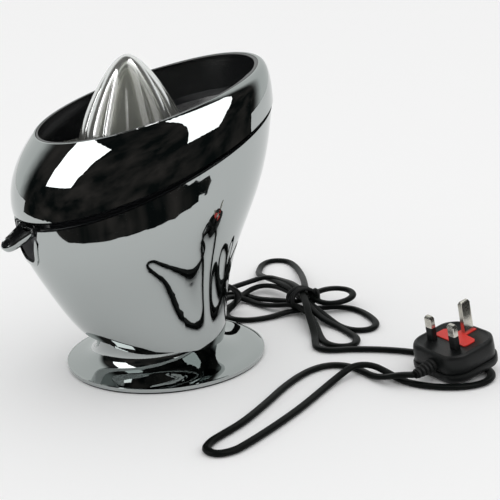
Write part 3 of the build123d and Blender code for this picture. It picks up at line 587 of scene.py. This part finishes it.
def spring_piece(steps_per_turn=24, corners=8):
    """The coil under the press plunger."""
    low, high = SPRING_LOW + SPRING_CLEAR, SPRING_HIGH - SPRING_CLEAR
    turns = (high - low) / SPRING_PITCH
    count = round(turns * steps_per_turn)
    section = [TAU * k / corners for k in range(corners)]
    rings = []
    for i in range(count + 1):
        a = TAU * turns * i / count
        outward = Vector((math.cos(a), math.sin(a), 0))
        middle = REAMER_AXIS + outward * SPRING_RADIUS + Vector((0, 0, low + (high - low) * i / count))
        rings.append([
            middle + (outward * math.cos(b) + Vector((0, 0, math.sin(b)))) * WIRE_RADIUS for b in section
        ])
    spring = ring_piece(
        "return_spring_coil", rings, "root", "steel", MATERIALS["steel"], ("return_spring",),
        caps=(True, True),
    )
    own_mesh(spring)


spring_piece()

# ---------------------------------------------------------------- studio
FRONT_ARC = (-48, 165)  # the front runs between these turns from -Y towards +X, in degrees
FRONT_STEPS, BACK_STEPS = 240, 60
FAR = 6.0
BACKDROP_WAY = (-0.866, 0.5, 0.0)  # level, away from the camera
BACKDROP_EDGE = (0.34, 0.62)  # the dim room gives way to the backdrop between these cosines


def table_edge(turn):
    """How far the table reaches in front, as the chrome mirrors it: nearest 60 degrees round."""
    t = (turn - 60) / 50
    return 0.315 + 0.02 * t ** 2 + 0.012 * t ** 4


def polar(turn, radius):
    a = math.radians(turn)
    return (radius * math.sin(a), -radius * math.cos(a), 0.0)


def floor_piece(name, points, faces, in_reflections):
    """A flat stretch of pale floor; the part in front isn't mirrored, which leaves the chrome dark there."""
    mesh = bpy.data.meshes.new(name)
    mesh.from_pydata(points, [], faces)
    obj = bpy.data.objects.new(name, mesh)
    bpy.context.scene.collection.objects.link(obj)
    obj.data.materials.append(FLOOR)
    obj.visible_glossy = in_reflections


FLOOR = node_material("floor", (0.93, 0.93, 0.93), 0.9, bump=0.0)
turns = [FRONT_ARC[0] + (FRONT_ARC[1] - FRONT_ARC[0]) * k / FRONT_STEPS for k in range(FRONT_STEPS + 1)]
turns += [FRONT_ARC[1] + (360 - FRONT_ARC[1] + FRONT_ARC[0]) * k / BACK_STEPS for k in range(1, BACK_STEPS)]
table_rim = [polar(t, table_edge(t) if k <= FRONT_STEPS else FAR) for k, t in enumerate(turns)]
floor_rim = [polar(t, FAR) for t in turns]
around = range(len(turns))
floor_piece("table", table_rim + [(0, 0, 0)], [(k, (k + 1) % len(turns), len(turns)) for k in around], True)
floor_piece("floor_in_front", table_rim + floor_rim, quads_between([table_rim, floor_rim]), False)
bpy.context.scene.view_settings.view_transform = "Standard"


def build_world():
    """White to the camera. Mirrors and clear parts see a pale backdrop behind and a dim room in front."""
    world = bpy.data.worlds.new("studio")
    bpy.context.scene.world = world
    world.use_nodes = True
    nodes, links = world.node_tree.nodes, world.node_tree.links
    background = nodes["Background"]
    rays = nodes.new("ShaderNodeLightPath")
    place = nodes.new("ShaderNodeTexCoord")
    behind = nodes.new("ShaderNodeVectorMath")
    behind.operation = "DOT_PRODUCT"
    behind.inputs[1].default_value = BACKDROP_WAY
    links.new(place.outputs["Generated"], behind.inputs[0])
    fade = nodes.new("ShaderNodeMapRange")
    fade.interpolation_type = "SMOOTHSTEP"
    fade.inputs["From Min"].default_value = BACKDROP_EDGE[0]
    fade.inputs["From Max"].default_value = BACKDROP_EDGE[1]
    links.new(behind.outputs["Value"], fade.inputs["Value"])
    shapes = nodes.new("ShaderNodeTexNoise")
    shapes.inputs["Scale"].default_value = 3.0
    shapes.inputs["Detail"].default_value = 3.0
    links.new(place.outputs["Generated"], shapes.inputs["Vector"])
    room = nodes.new("ShaderNodeValToRGB")
    room.color_ramp.elements[0].position = 0.4
    room.color_ramp.elements[0].color = (0.006, 0.008, 0.008, 1)
    room.color_ramp.elements[1].position = 0.75
    room.color_ramp.elements[1].color = (0.05, 0.045, 0.042, 1)
    links.new(shapes.outputs["Fac"], room.inputs["Fac"])
    seen = nodes.new("ShaderNodeMix")
    seen.data_type = "RGBA"
    links.new(fade.outputs["Result"], seen.inputs["Factor"])
    links.new(room.outputs["Color"], seen.inputs["A"])
    seen.inputs["B"].default_value = (0.72, 0.74, 0.73, 1)
    mirrored = nodes.new("ShaderNodeMath")
    mirrored.operation = "MAXIMUM"
    links.new(rays.outputs["Is Glossy Ray"], mirrored.inputs[0])
    links.new(rays.outputs["Is Transmission Ray"], mirrored.inputs[1])
    level = nodes.new("ShaderNodeMix")
    level.data_type = "RGBA"
    links.new(mirrored.outputs["Value"], level.inputs["Factor"])
    level.inputs["A"].default_value = (1.0, 1.0, 1.0, 1)
    links.new(seen.outputs["Result"], level.inputs["B"])
    links.new(level.outputs["Result"], background.inputs["Color"])
    background.inputs["Strength"].default_value = 1.0


build_world()


def softbox(name, middle, across, upward, power):
    """A lamp, given by its middle and two sides, that faces the juicer and lights only by gloss."""
    across, upward = Vector(across), Vector(upward)
    light = bpy.data.lights.new(name, "AREA")
    light.shape = "RECTANGLE"
    light.size, light.size_y = across.length, upward.length
    light.energy = power
    obj = bpy.data.objects.new(name, light)
    bpy.context.scene.collection.objects.link(obj)
    x = across.normalized()
    z = x.cross(upward).normalized()
    y = z.cross(x)
    if z.dot(Vector(middle)) < 0:
        x, z = -x, -z
    axes = Matrix((x, y, z)).transposed().to_4x4()
    obj.matrix_world = Matrix.Translation(middle) @ axes
    obj.visible_diffuse = False


softbox(
    "softbox_left", middle=(-0.234, -0.959, 0.868), across=(0.62, -0.11, 0.02), upward=(-0.19, 0.51, 0.63),
    power=5.0,
)
softbox(
    "softbox_right", middle=(0.544, 0.313, 1.014), across=(-0.21, 0.585, -0.13), upward=(-1.28, -0.13, 0.84),
    power=8.0,
)


VIEW_TURN, VIEW_RISE, VIEW_ROLL = math.radians(60), math.radians(16.6), math.radians(3.3)
VIEW_DISTANCE, VIEW_LENS, VIEW_SENSOR = 0.839, 82.8, 36.0
VIEW_RIGHT, VIEW_ABOVE = 0.0650, 0.07276  # how far beside and above the foot's centre the camera looks


def build_camera():
    """The view: turned from the front towards +X, raised above level and rolled a little."""
    right = Vector((math.cos(VIEW_TURN), math.sin(VIEW_TURN), 0))
    level = Vector((math.sin(VIEW_TURN), -math.cos(VIEW_TURN), 0))
    back = level * math.cos(VIEW_RISE) + Vector((0, 0, math.sin(VIEW_RISE)))
    up = back.cross(right)
    c, s = math.cos(VIEW_ROLL), math.sin(VIEW_ROLL)
    data = bpy.data.cameras.new("camera")
    data.sensor_width = VIEW_SENSOR
    data.lens = VIEW_LENS
    camera = bpy.data.objects.new("camera", data)
    bpy.context.scene.collection.objects.link(camera)
    axes = Matrix((right * c - up * s, right * s + up * c, back)).transposed().to_4x4()
    place = back * VIEW_DISTANCE + right * VIEW_RIGHT + up * VIEW_ABOVE
    camera.matrix_world = Matrix.Translation(place) @ axes
    bpy.context.scene.camera = camera


build_camera()
